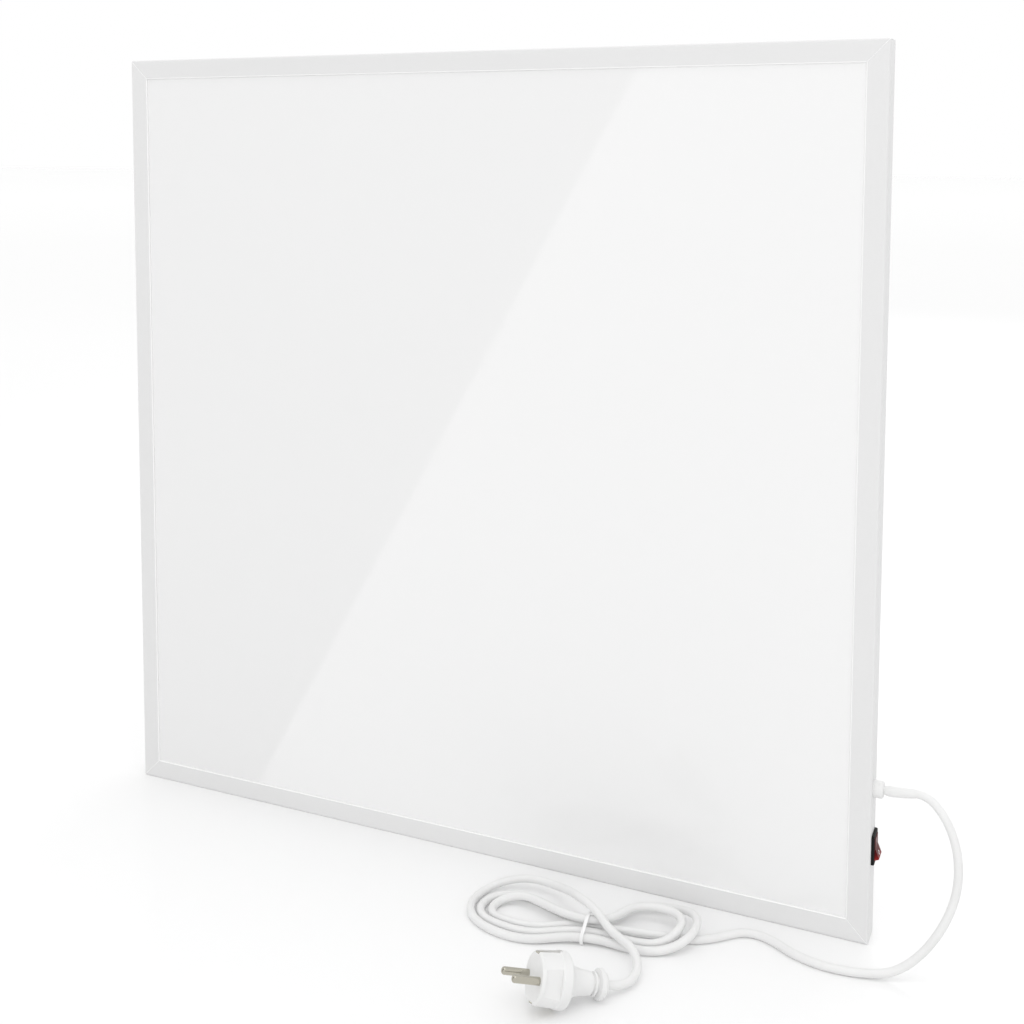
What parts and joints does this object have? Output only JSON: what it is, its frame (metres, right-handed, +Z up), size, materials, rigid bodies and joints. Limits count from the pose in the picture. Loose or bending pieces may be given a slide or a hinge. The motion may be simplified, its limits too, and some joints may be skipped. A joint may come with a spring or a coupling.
{
  "type": "infrared panel heater",
  "caption": "Slim white glass-fronted infrared panel heater in a mitred metal frame, with a red rocker switch and a corded moulded earthed plug.",
  "frame": {"origin": "Middle of the four wall fixings, in the plane of the wall", "axes": "+X to the side with the switch and cord, +Y into the wall, +Z up"},
  "size_m": [0.6596, 0.2014, 0.6001],
  "materials": {
    "frame_paint": "satin white powder coat",
    "white_glass": "white back-printed, polished",
    "seal_rubber": "matt",
    "film_plastic": "clear film",
    "carbon_ink": "printed",
    "copper": "rolled foil",
    "mica_board": "pressed sheet",
    "bare_aluminium": "mill",
    "mineral_wool": "fibrous",
    "cover_steel": "satin white powder coat",
    "plated_steel": "bright zinc plate",
    "nickel_plate": "nickel plate",
    "black_plastic": "fine texture",
    "red_translucent": "translucent red, polished",
    "lamp_glass": "neon lamp",
    "brass": "stamped",
    "white_plastic": "satin",
    "cord_white": "soft white vinyl",
    "wire_brown": "insulation",
    "wire_blue": "insulation",
    "wire_green": "insulation, green with yellow"
  },
  "bodies": {
    "heater": {"frame_bottom": "frame_paint", "frame_top": "frame_paint", "frame_left": "frame_paint", "frame_right": "frame_paint", "corner_keys": "bare_aluminium", "glass_seal": "seal_rubber", "front_glass": "white_glass", "heating_film": "film_plastic", "carbon_strips": "carbon_ink", "copper_busbars": "copper", "insulating_board": "mica_board", "reflector_foil": "bare_aluminium", "insulation_mat": "mineral_wool", "back_cover": "cover_steel", "cover_screws": "plated_steel", "wall_brackets": "plated_steel", "bracket_rivets": "bare_aluminium", "switch_housing": "black_plastic", "switch_terminals": "brass", "cord_gland": "white_plastic", "gland_nut": "white_plastic", "cord_inner_end": "cord_white", "terminal_block": "white_plastic", "terminal_screws": "plated_steel", "block_rivets": "bare_aluminium", "thermal_cutout": "black_plastic", "earth_bolt": "plated_steel", "earth_lug": "brass", "earth_nut": "plated_steel", "live_wires": "wire_brown", "neutral_wires": "wire_blue", "earth_wire": "wire_green", "cord_lead": "cord_white", "cord_hank": "cord_white", "cord_tail": "cord_white", "cord_tie": "white_plastic", "plug_body": "cord_white", "plug_pins": "nickel_plate", "plug_earth_clips": "nickel_plate"},
    "rocker": {"rocker": "red_translucent", "rocker_lamp": "lamp_glass"}
  },
  "joints": [
    {"name": "rocker_pivot", "type": "hinge", "parent": "heater", "child": "rocker", "pos_m": [0.299, -0.01865, -0.2365], "axis": [0, 1, 0], "range_deg": [0, 23]}
  ]
}
